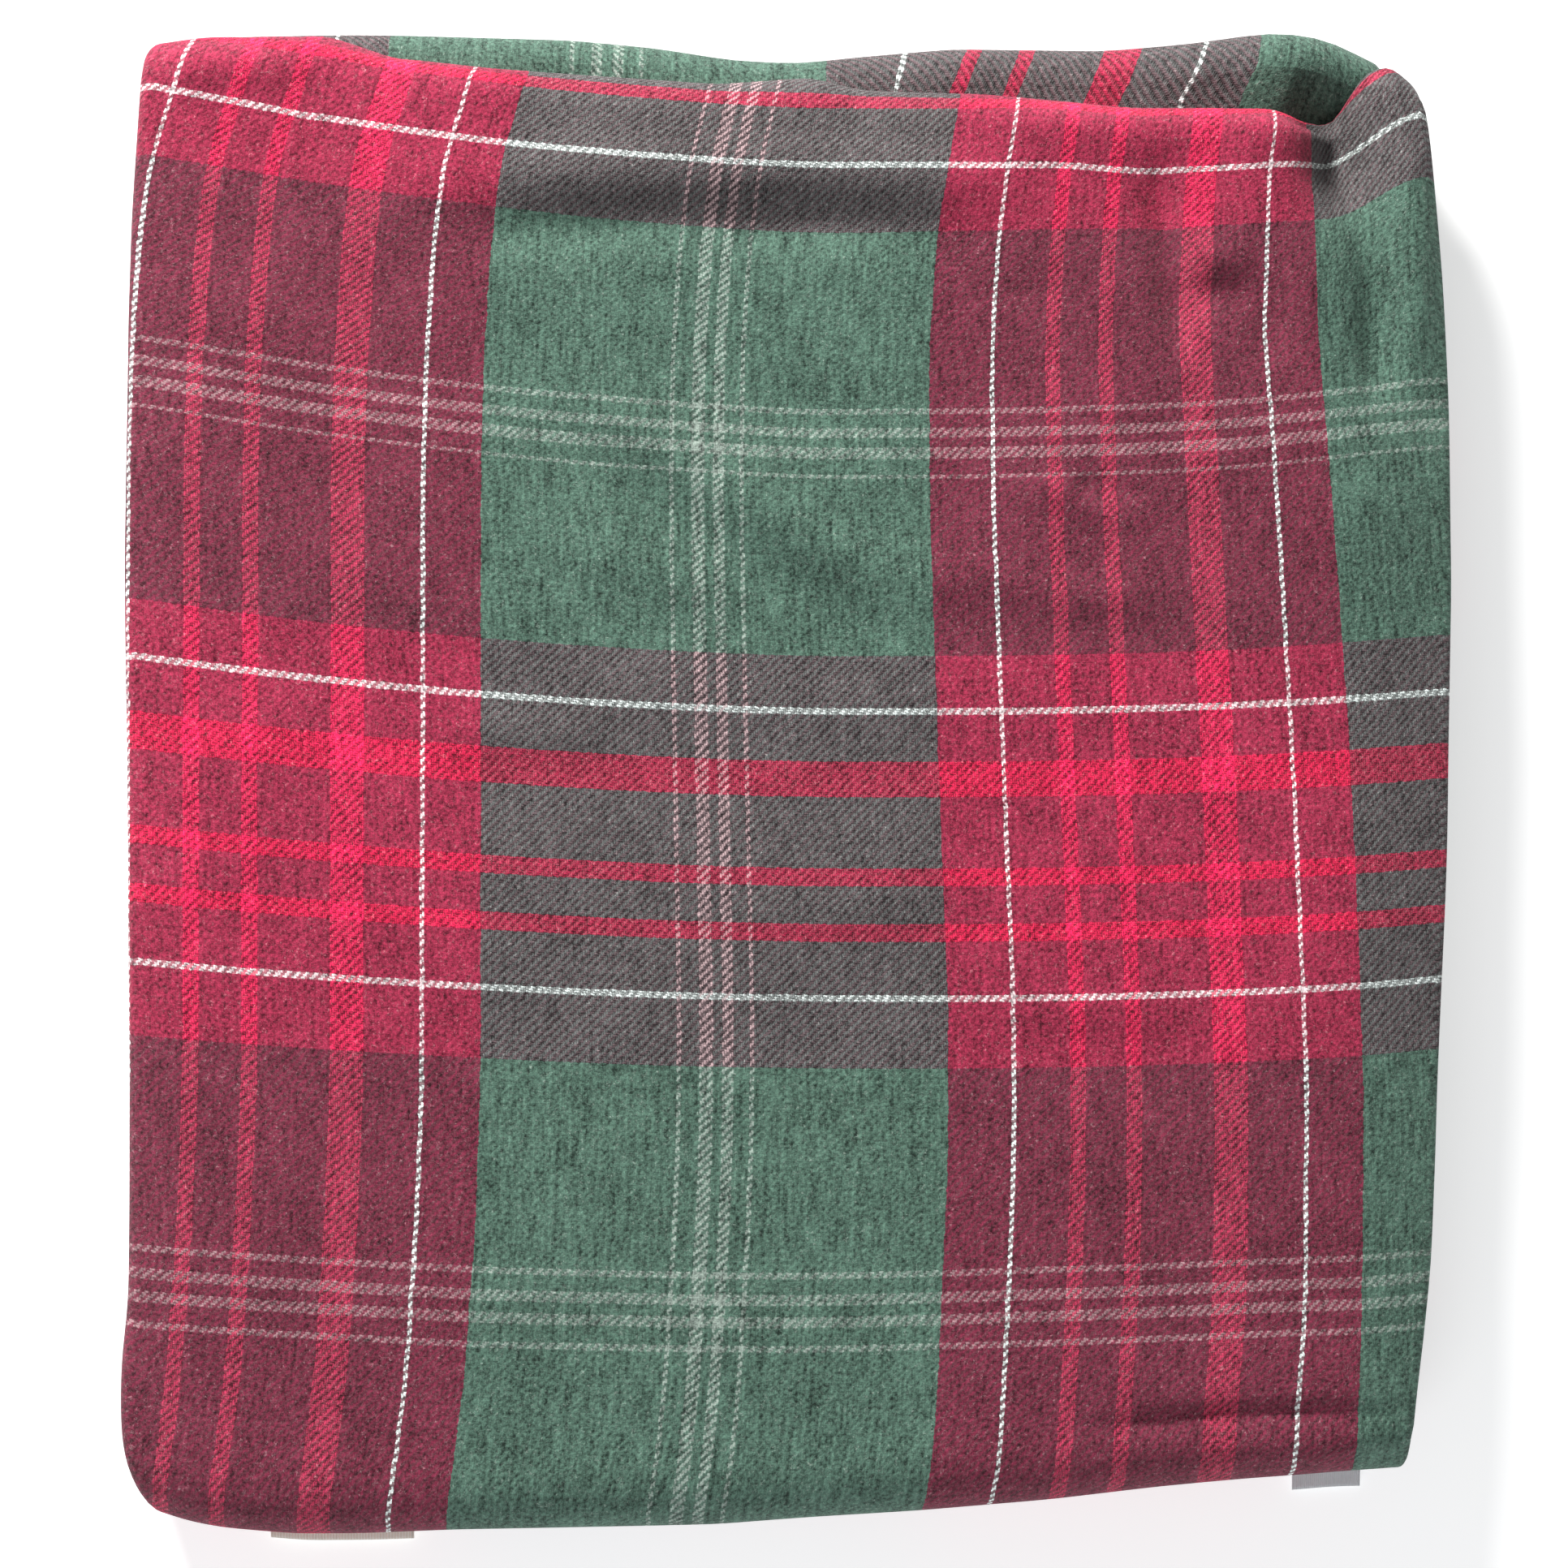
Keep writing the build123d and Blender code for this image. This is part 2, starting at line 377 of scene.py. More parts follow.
# Mounds of the top surface: height, centre, half-widths and turn
TOP_MOUNDS = [
    # The deep notch beside the right strip, and the puckers near it
    (-23.0, (139, 160), (7.5, 15), -6),
    (4.0, (119, 164), (9, 10), 0),
    (-3.0, (107, 121), (9, 4.5), 0),
    (2.2, (109, 131), (8, 5), 0),
    (-2.4, (121, 112), (6, 8), 0),
    (1.8, (128, 120), (4, 14), 0),
    # Hollows between the slanting folds
    (-2.0, (2, 93), (14, 7), -30),
    (-1.8, (62, 122), (9, 6), 0),
    # The near right corner's edge
    (0.8, (112, -166), (34, 5), 0),
]


def top_relief(x, y):
    """Height of the top surface above its level, in mm, at places in mm."""
    # It falls away towards the right side, and a little towards the left one
    rise = -8.5 * smooth(x, 136, 172) ** 1.3 - 2.5 * smooth(-x, 148, 166)
    for height, start, end, width, bend in TOP_CREASES:
        rise = rise + height * crease(x, y, start, end, width, bend)
    for height, centre, size, turn in TOP_MOUNDS:
        rise = rise + height * bump(x, y, centre, size, turn)
    return rise + ripples(x, y)


def ripples(x, y):
    """Low, seeded unevenness of a soft stack, in mm."""
    random = np.random.default_rng(7)
    total = np.zeros(np.shape(x))
    steepness = 0.0032
    for wave in np.linspace(26, 95, 9):
        turn, phase = random.uniform(0, math.pi), random.uniform(0, 6.28)
        total = total + steepness * wave * np.sin(
            (x * math.cos(turn) + y * math.sin(turn)) * 2 * math.pi / wave + phase
        )
    return total


def settle(points, upper):
    """Straight-packet points with the packet's outline and relief.

    Hidden layers follow the lowest relief near them, so that none comes through the top.
    """
    x, y = place_in_plan(points[..., 0], points[..., 1], upper)
    z = points[..., 2]
    x_mm, y_mm = np.clip(x / MM, -170, 170), np.clip(y / MM, -190, 190)
    relief = top_relief(x_mm, y_mm)
    around = [(-5, 0), (5, 0), (0, -5), (0, 5), (-3, -3), (3, 3), (-3, 3), (3, -3)]
    lowest = np.minimum.reduce([relief] + [top_relief(x_mm + p, y_mm + q) for p, q in around])
    shown = smooth(z, TOP - 1.1 * PITCH, TOP - 0.9 * PITCH)
    relief = lowest + (relief - lowest) * shown
    # The lower far roll puffs up at its right part
    loose = smooth(x_mm, 75, 115) * smooth(-x_mm, -158, -140) * smooth(y_mm, 160, 180)
    lift = 1 + 0.22 * loose * (1 - upper)
    return np.stack([x, y, z * (1 + relief / (TOP / MM)) * lift], axis=-1)


def drift(a, b):
    """How far the plaid lies from a straight grid at a place of the top, in mm."""
    guides = [(-1.0, STRAY_LEFT(b) - 2.4), (-0.8, STRAY_LEFT(b) - 0.6), (-0.5, STRAY_LEFT(b)),
              (0.28, STRAY_MIDDLE(b)), (0.74, STRAY_RIGHT(b)), (0.86, STRAY_BAND_END(b))]
    sideways = guides[0][1]
    for (low, first), (high, second) in zip(guides, guides[1:]):
        share = np.clip((a - low) / (high - low), 0, 1)
        sideways = sideways + (second - first) * share
    # Lines across bow away at the left and right, and dip again towards the far right corner
    bow = (10.9 + 9.5 * b) * np.clip((0.1 - a) / 1.04, 0, 1.1) ** 1.67
    bow = bow + 4.2 * np.clip((a - 0.15) / 0.81, 0, 1.1) ** 2.4
    bow = bow + UPPER_BOW(a) * UPPER_HOLD(b) + LOWER_BOW(a) * LOWER_HOLD(b)
    corner = 9 * smooth(a, 0.82, 0.97) * smooth(b, 0.5, 0.75)
    strip = smooth(a, 0.4, 0.55) * (1 - smooth(a, 0.78, 0.86)) * smooth(b, 0.7, 0.85)
    corner = corner - 2.2 * strip
    return sideways, CROWDING(b) + bow + corner


# --------------------------------------------------------- the width profile
def width_profile(seen, hidden):
    """The cloth's centre line through one panel, from its tucked edge to its hemmed edge.

    It holds each point's x, height in the panel, face normal, place across the cloth, half
    thickness and run, and whether its two ends are free edges. Runs are numbered from 0: the
    even ones are flat layers, 2 is the outer one, and the odd ones are the folds between.
    """
    fold = PITCH / 2
    runs = [
        line_run(TUCK_LEFT, RIGHT_TURN, 2.5 * PITCH, -1, hidden),
        turn_run((RIGHT_TURN, 3 * PITCH), fold, -90, 90, 1),
        line_run(RIGHT_TURN, LEFT_TURN, 3.5 * PITCH, 1, seen),
        turn_run((LEFT_TURN, 2.5 * PITCH), PITCH, 90, 270, 1),
        line_run(LEFT_TURN, INNER_FOLD, 1.5 * PITCH, -1, hidden),
        turn_run((INNER_FOLD, PITCH), fold, 90, -90, -1),
        line_run(INNER_FOLD, HEM_LEFT + SIDE_HEM, 0.5 * PITCH, 1, hidden),
    ]
    rows = np.concatenate([run[:-1] for run in runs[:-1]] + [runs[-1]])
    steps = np.hypot(np.diff(rows[:, 0]), np.diff(rows[:, 1]))
    arc = np.concatenate([[0], np.cumsum(steps)])
    start = arc[len(runs[0]) + len(runs[1]) - 2] + RIGHT_TURN
    layer = np.repeat(np.arange(len(runs)), [len(run) - 1 for run in runs[:-1]] + [len(runs[-1])])
    return {"x": rows[:, 0], "w": rows[:, 1], "nx": rows[:, 2], "nw": rows[:, 3],
            "u": start - arc, "half": np.full(len(rows), CLOTH_HALF), "run": layer,
            "free": (True, False)}


def line_run(x_start, x_end, w, facing, step):
    """Points along a flat layer: x, height, and a normal that points up or down."""
    count = max(2, round(abs(x_end - x_start) / step) + 1)
    x = np.linspace(x_start, x_end, count)
    return np.stack([x, np.full(count, w), np.zeros(count), np.full(count, facing)], axis=1)


def turn_run(centre, radius, start, end, facing):
    """Points round a widthwise fold, with normals out of it or into it."""
    angle = np.radians(np.linspace(start, end, 9))
    out = np.stack([np.cos(angle), np.sin(angle)], axis=1)
    return np.concatenate([np.array(centre) + radius * out, facing * out], axis=1)


def part_of(profile, runs):
    """The stretch of a profile that lies in the given runs, up to the next one's start."""
    inside = np.flatnonzero(np.isin(profile["run"], runs))
    stop = min(inside[-1] + 2, len(profile["x"]))
    cut = {key: profile[key][inside[0]:stop] for key in ("x", "w", "nx", "nw", "u", "half", "run")}
    cut["free"] = (inside[0] == 0, False)
    return cut


def hem_profile():
    """The turned-over edge of the lowest layer, thicker than the cloth, with a round lip."""
    x = np.concatenate([np.linspace(HEM_LEFT + SIDE_HEM + 0.0008, HEM_LEFT + 0.001, 10),
                        HEM_LEFT + np.array([0.0005, 0.0002, 0.0])])
    count = len(x)
    half = np.full(count, HEM_HALF)
    half[0] = CLOTH_HALF
    half[-3:] = HEM_HALF * np.array([0.92, 0.72, 0.35])
    cloth = width_profile(0.02, 0.02)
    u = cloth["u"][-1] - (cloth["x"][-1] - x)
    return {"x": x, "w": np.full(count, PITCH / 2 + HEM_HALF - CLOTH_HALF), "nx": np.zeros(count),
            "nw": np.ones(count), "u": u, "half": half, "run": np.full(count, 6),
            "free": (False, True)}


# ----------------------------------------------------------- the length path
def path_point(kind, place, w):
    """Y, Z and length along the cloth for a height w in the panel, at one place of the path."""
    near, far = PANEL / 2 + w, PANEL - w  # the two lower rolls' radii at this height
    roll = NEAR_AXIS - near * math.pi - SLACK
    end = roll - (FAR_AXIS - NEAR_AXIS)
    flat = np.zeros_like(w)
    if kind == "top":
        return flat + place, 3 * PANEL + w, flat + place
    if kind == "top_roll":
        return TOP_AXIS + w * np.sin(place), 3 * PANEL + w * np.cos(place), TOP_AXIS + w * place
    if kind == "tucked":
        return flat + place, 3 * PANEL - w, TOP_AXIS + math.pi * w + TOP_AXIS - place
    if kind == "near_roll":
        ease = SLACK * smooth(place, math.pi / 2, math.pi)
        return (NEAR_AXIS - near * np.sin(place), 2.5 * PANEL + near * np.cos(place),
                NEAR_AXIS - near * place - ease)
    if kind == "middle":
        return flat + place, 2 * PANEL - w, roll - (place - NEAR_AXIS)
    if kind == "far_roll":
        return FAR_AXIS + far * np.sin(place), PANEL + far * np.cos(place), end - far * place
    return flat + place, w, end - far * math.pi - (FAR_AXIS - place)


def rows_between(kind, start, end, step):
    """Evenly spaced rows of a sweep: the kind of stretch, the place on it and the thinning."""
    count = max(2, round(abs(end - start) / step) + 1)
    return [(kind, place, 1.0) for place in np.linspace(start, end, count)]


def tapered(rows):
    """Rows with the first few thinned to a round edge."""
    kind, first, _ = rows[0]
    step = rows[1][1] - first
    lip = ((0, 0.45), (0.06, 0.8), (0.16, 0.95))
    return [(kind, first + step * place, thin) for place, thin in lip] + rows[1:]


def plaid_place(kind, profile, place):
    """Cloth coordinates in metres at the profile's points, with the plaid's stray and drift.

    Away from the top, the shift found at its edge goes on unchanged, so stripes stay whole.
    """
    y, _, v = path_point(kind, place, profile["w"])
    at_edge = np.full_like(y, TOP_AXIS if kind in UPPER_KINDS else NEAR_AXIS)
    held = y if kind in ("top", "top_roll", "near_roll") else at_edge
    turns = np.where(profile["run"] < 2, RIGHT_TURN, LEFT_TURN)
    x_held = np.where(profile["run"] == 2, profile["x"], turns)
    x, y_moved = place_in_plan(x_held, held, np.ones_like(y))
    du, dv = drift(*shares(x, y_moved))
    skew = 0.0 if kind in UPPER_KINDS else far_skew(profile["x"], y)
    skew = skew * np.where(np.isin(profile["run"], (0, 1, 4)), -1.0, 1.0)
    across = profile["u"] + x - x_held - du * MM - skew
    return np.stack([across, v + y_moved - held - dv * MM], axis=-1)


def far_skew(x, y):
    """How far the lower panels' stripes lean to the right near the far fold, in metres."""
    a = x / HALF_WIDTH
    return 0.45 * np.maximum(y - 0.171, 0) * smooth(a, 0.05, 0.3) * (1 - smooth(a, 0.6, 0.9))


# ------------------------------------------------------------ meshes
def sweep(name, profile, rows, half_scale=1.0):
    """A closed sheet mesh: the profile at every row, on both sides of its centre line."""
    sides, plaid = [], []
    for side in (1, -1):
        layers = []
        for kind, place, thin in rows:
            reach = side * profile["half"] * thin * half_scale
            x = profile["x"] + profile["nx"] * reach
            w = profile["w"] + profile["nw"] * reach
            y, z, _ = path_point(kind, place, w)
            upper = np.full(len(x), float(kind in UPPER_KINDS))
            layers.append(settle(np.stack([x, y, z], axis=-1), upper))
        sides.append(np.array(layers))
    for kind, place, _ in rows:
        plaid.append(plaid_place(kind, profile, place))
    return sheet_mesh(name, sides, np.array(plaid), profile["free"],
                      (rows[0][2] < 1, rows[-1][2] < 1))


def sheet_mesh(name, sides, plaid, free_u, free_v):
    """Joins two grids of points into a closed mesh, with sharp rims where the cloth runs on.

    Free_u and free_v say which ends, across and along, are free edges. Plaid is the cloth's
    own coordinates, and the "reverse" attribute is 1 on the cloth's back.
    """
    rows, columns = sides[0].shape[:2]
    index = np.arange(rows * columns).reshape(rows, columns)
    quad = np.stack([index[:-1, :-1], index[:-1, 1:], index[1:, 1:], index[1:, :-1]], axis=-1)
    front = quad.reshape(-1, 4)
    offset = rows * columns
    back = front[:, ::-1] + offset
    border = np.concatenate([index[0, :], index[1:, -1], index[-1, -2::-1], index[-2:0:-1, 0]])
    following = np.roll(border, -1)
    rim = np.stack([following, border, border + offset, following + offset], axis=-1)
    points = np.concatenate([sides[0].reshape(-1, 3), sides[1].reshape(-1, 3)])
    faces = np.concatenate([front, back, rim])
    if outward_volume(points, faces) < 0:
        faces = faces[:, ::-1]
    mesh = bpy.data.meshes.new(name)
    mesh.from_pydata(points.tolist(), [], faces.tolist())
    uv = np.concatenate([plaid.reshape(-1, 2)] * 2)
    layer = mesh.uv_layers.new(name="cloth")
    loops = np.zeros(len(mesh.loops), dtype=int)
    mesh.loops.foreach_get("vertex_index", loops)
    layer.data.foreach_set("uv", uv[loops].astype(np.float32).ravel())
    reverse = mesh.attributes.new("reverse", "FLOAT", "POINT")
    reverse.data.foreach_set("value", np.repeat([0.0, 1.0], offset).astype(np.float32))
    mark_cuts(mesh, index, offset, free_u, free_v)
    return smooth_object(name, mesh)


def smooth_object(name, mesh):
    """The scene's object for a mesh, shaded smooth."""
    mesh.polygons.foreach_set("use_smooth", np.ones(len(mesh.polygons), dtype=bool))
    obj = bpy.data.objects.new(name, mesh)
    bpy.context.collection.objects.link(obj)
    return obj


def outward_volume(points, faces):
    """Negative where quads face inwards."""
    a, b, c, d = (points[faces[:, k]] for k in range(4))
    return float((a * np.cross(b, c)).sum() + (a * np.cross(c, d)).sum())


def mark_cuts(mesh, index, offset, free_u, free_v):
    """Marks the rims where a piece meets the next one as sharp, so that both shade alike."""
    cut = np.zeros(2 * offset, dtype=bool)
    for line, free in ((index[0], free_v[0]), (index[-1], free_v[1]),
                       (index[:, 0], free_u[0]), (index[:, -1], free_u[1])):
        if not free:
            cut[line] = True
            cut[line + offset] = True
    ends = np.zeros(2 * len(mesh.edges), dtype=int)
    mesh.edges.foreach_get("vertices", ends)
    ends = ends.reshape(-1, 2)
    same_side = (ends[:, 0] < offset) == (ends[:, 1] < offset)
    step = np.abs(ends[:, 0] - ends[:, 1])
    columns = index.shape[1]
    rim = cut[ends].all(axis=1) & same_side
    along_row = (step == 1) & np.isin(ends[:, 0] % offset // columns, (0, index.shape[0] - 1))
    along_column = (step == columns) & np.isin(ends[:, 0] % offset % columns, (0, columns - 1))
    sharp = mesh.attributes.new("sharp_edge", "BOOLEAN", "EDGE")
    sharp.data.foreach_set("value", rim & (along_row | along_column))


# ------------------------------------------------------------ stitches and labels
def stitch_mesh(name, centres, along, up, to_world):
    """Short rounded stitches. Centres, along and up are (n, 3) in the path's own coordinates."""
    ring_places = [-1.0, -0.8, -0.3, 0.3, 0.8, 1.0]
    ring_sizes = [0.3, 0.85, 1.0, 1.0, 0.85, 0.3]
    corners = 6
    side = np.cross(along, up)
    side = side / np.linalg.norm(side, axis=1, keepdims=True)
    points = []
    for place, size in zip(ring_places, ring_sizes):
        middle = centres + along * place * STITCH_LENGTH / 2 + up * (size - 1) * STITCH_HALF
        for angle in np.arange(corners) * 2 * math.pi / corners:
            spoke = side * math.cos(angle) + up * math.sin(angle)
            points.append(middle + spoke * STITCH_HALF * size)
    points = to_world(np.stack(points, axis=1)).reshape(-1, 3)
    faces = []
    last = (len(ring_places) - 1) * corners
    for start in range(0, last, corners):
        for k in range(corners):
            low, high = start + k, start + (k + 1) % corners
            faces.append((low, high, high + corners, low + corners))
    caps = [tuple(range(corners - 1, -1, -1)), tuple(range(last, last + corners))]
    each = last + corners
    every = [tuple(k + first for k in face) for first in range(0, len(points), each)
             for face in faces + caps]
    if outward_volume(points, np.array(faces)) < 0:
        every = [face[::-1] for face in every]
    mesh = bpy.data.meshes.new(name)
    mesh.from_pydata(points.tolist(), [], every)
    return smooth_object(name, mesh)


def path_to_world(kind):
    """Turns (x, place, w) into world points; on a roll the places are angles."""
    def turn(points):
        y, z, _ = path_point(kind, points[..., 1], points[..., 2])
        upper = np.full(y.shape, float(kind in UPPER_KINDS))
        return settle(np.stack([points[..., 0], y, np.maximum(z, 0.0001)], axis=-1), upper)
    return turn


def side_stitches(name, kind, start, end, radius=1.0):
    """A line of stitches on both faces of a side hem, along one stretch of the path.

    On a roll, start and end are angles, which radius turns into lengths along its arc.
    """
    count = int(abs(end - start) * radius / STITCH_STEP)
    places = start + (np.arange(count) + 0.5) / count * (end - start)
    x, middle = HEM_LEFT + SIDE_HEM - STITCH_INSET, PITCH / 2 + HEM_HALF - CLOTH_HALF
    centres, ups = [], []
    for side in (1, -1):
        w = middle + side * (HEM_HALF + STITCH_PROUD)
        centres.append(np.stack([np.full(count, x), places * radius, np.full(count, w)], axis=1))
        ups.append(np.tile([0.0, 0.0, side], (count, 1)))
    along = np.tile([0.0, 1.0, 0.0], (2 * count, 1))
    world, unrolled = path_to_world(kind), np.array([1.0, 1 / radius, 1.0])
    return stitch_mesh(name, np.concatenate(centres), along, np.concatenate(ups),
                       lambda points: world(points * unrolled))


def end_stitches(name, kind, place):
    """A line of stitches on both faces of an end hem, through all four folded layers."""
    profile = width_profile(0.001, 0.001)
    arc = np.abs(profile["u"] - profile["u"][0])
    count = int(arc[-1] / STITCH_STEP)
    spots = (np.arange(count) + 0.5) / count * arc[-1]
    x, w, nx, nw = (np.interp(spots, arc, profile[key]) for key in ("x", "w", "nx", "nw"))
    norm = np.hypot(nx, nw)
    nx, nw = nx / norm, nw / norm
    centres, ups, along = [], [], []
    for side in (1, -1):
        reach = side * (CLOTH_HALF * END_SCALE + STITCH_PROUD)
        centres.append(np.stack([x + nx * reach, np.full(count, place), w + nw * reach], axis=1))
        ups.append(np.stack([side * nx, np.zeros(count), side * nw], axis=1))
        along.append(np.stack([-nw, np.zeros(count), nx], axis=1))
    return stitch_mesh(name, np.concatenate(centres), np.concatenate(along), np.concatenate(ups),
                       path_to_world(kind))


def label_sheet(name, x_low, x_high, reach, droop):
    """A blank tape caught in the end hem: its free end reaches past the near folds."""
    caught, bent = 0.012, 0.006  # how far inside the near edge it starts, and starts to droop
    x = np.linspace(x_low, x_high, 40)
    y = np.linspace(NEAR + caught, NEAR - reach, 26)
    grid_x, grid_y = np.meshgrid(x, y)
    free = smooth(-grid_y, -NEAR - bent, -NEAR + reach)
    wave = np.sin((grid_x - x_low) / (x_high - x_low) * 5.0 + 1.0)
    height = LABEL_Z - droop * free + 0.0004 * wave * free
    sides = []
    for side in (1, -1):
        points = np.stack([grid_x, grid_y, height + side * LABEL_HALF], axis=-1)
        sides.append(settle(points, np.zeros(grid_x.shape)))
    plaid = np.stack([grid_x, grid_y], axis=-1)
    return sheet_mesh(name, sides, plaid, (True, True), (True, True))


# ------------------------------------------------------------ materials
class Nodes:
    """Short calls for building one material's node tree."""

    def __init__(self, name):
        self.material = bpy.data.materials.new(name)
        self.material.use_nodes = True
        self.tree = self.material.node_tree
        self.shader = self.tree.nodes["Principled BSDF"]

    def add(self, kind, **settings):
        """A new node with its settings."""
        node = self.tree.nodes.new(kind)
        for key, value in settings.items():
            setattr(node, key, value)
        return node

    def put(self, socket, value):
        """Links another node's output to a socket, or sets it to a constant."""
        if isinstance(value, bpy.types.NodeSocket):
            self.tree.links.new(value, socket)
        else:
            socket.default_value = value

    def math(self, operation, *values):
        node = self.add("ShaderNodeMath", operation=operation)
        for socket, value in zip(node.inputs, values):
            self.put(socket, value)
        return node.outputs[0]

    def mix(self, share, first, second):
        """First where share is 0, and second where it is 1."""
        node = self.add("ShaderNodeMix", data_type="RGBA")
        self.put(node.inputs[0], share)
        self.put(node.inputs[6], first)
        self.put(node.inputs[7], second)
        return node.outputs[2]

    def noise(self, vector, scale, detail=2.0, roughness=0.5, flat=True):
        node = self.add("ShaderNodeTexNoise", noise_dimensions="2D" if flat else "3D")
        self.put(node.inputs["Vector"], vector)
        node.inputs["Scale"].default_value = scale
        node.inputs["Detail"].default_value = detail
        node.inputs["Roughness"].default_value = roughness
        return node.outputs["Fac"]

    def moved(self, vector, move, turn=0.0, stretch=(1.0, 1.0, 1.0)):
        """The same pattern from another place, turned and stretched."""
        node = self.add("ShaderNodeMapping")
        self.put(node.inputs["Vector"], vector)
        node.inputs["Location"].default_value = (move, -0.7 * move, 0.0)
        node.inputs["Rotation"].default_value = (0.0, 0.0, turn)
        node.inputs["Scale"].default_value = stretch
        return node.outputs[0]

    def spread(self, value, gain, middle=0.5):
        """Gain times how far a value lies from its middle."""
        return self.math("MULTIPLY", self.math("SUBTRACT", value, middle), gain)

    def step(self, value, low, high):
        """An easy rise from 0 at low to 1 at high; low may be the larger."""
        node = self.add("ShaderNodeMapRange", interpolation_type="SMOOTHSTEP")
        self.put(node.inputs["Value"], value)
        node.inputs["From Min"].default_value = low
        node.inputs["From Max"].default_value = high
        return node.outputs[0]

    def hairs(self, vector, scale, move, turn, stretch, thickness):
        """Loose curly fibres: thin contour lines of a noise, broken up by another."""
        place = self.moved(vector, move, turn, stretch)
        line = self.math("ABSOLUTE", self.spread(self.noise(place, scale, 1.0), 1.0))
        line = self.step(line, thickness, 0.0)
        gaps = self.step(self.noise(self.moved(vector, move + 9.0), scale * 0.9, 1.0), 0.44, 0.62)
        return self.math("MULTIPLY", line, gaps)

    def stripes(self, place, spans):
        """1 where a place lies in any of the spans, which don't overlap."""
        marks = [self.math("COMPARE", place, (low + high) / 2, (high - low) / 2)
                 for low, high in spans]
        total = marks[0]
        for mark in marks[1:]:
            total = self.math("ADD", total, mark)
        return total

    def bump(self, height, distance, strength=1.0):
        node = self.add("ShaderNodeBump")
        node.inputs["Strength"].default_value = strength
        node.inputs["Distance"].default_value = distance
        self.put(node.inputs["Height"], height)
        self.put(self.shader.inputs["Normal"], node.outputs[0])


# Dyes: of the ground, of stripes on it, and of single yarns
GREEN, MAROON = (0.088, 0.160, 0.122, 1), (0.190, 0.026, 0.056, 1)
GREY, CRIMSON = (0.106, 0.098, 0.102, 1), (0.370, 0.030, 0.075, 1)
RED_WARP_ON_GREEN, RED_WARP_ON_MAROON = (0.360, 0.033, 0.078, 1), (0.640, 0.024, 0.088, 1)
RED_WEFT_ON_GREEN, RED_WEFT_ON_MAROON = (0.385, 0.027, 0.070, 1), (0.660, 0.018, 0.075, 1)
RED_ON_RED = (0.960, 0.022, 0.110, 1)
GREEN_YARN, MAROON_YARN = (0.080, 0.160, 0.120, 1), (0.270, 0.022, 0.050, 1)
RED_YARN, CURL_COLOUR = (0.680, 0.024, 0.080, 1), (0.62, 0.57, 0.55, 1)
PALE_YARN, PALE_ON_RED = (0.46, 0.52, 0.47, 1), (0.62, 0.40, 0.42, 1)
WHITE_YARN, WHITE_ON_RED = (0.88, 0.97, 0.94, 1), (0.97, 0.82, 0.83, 1)


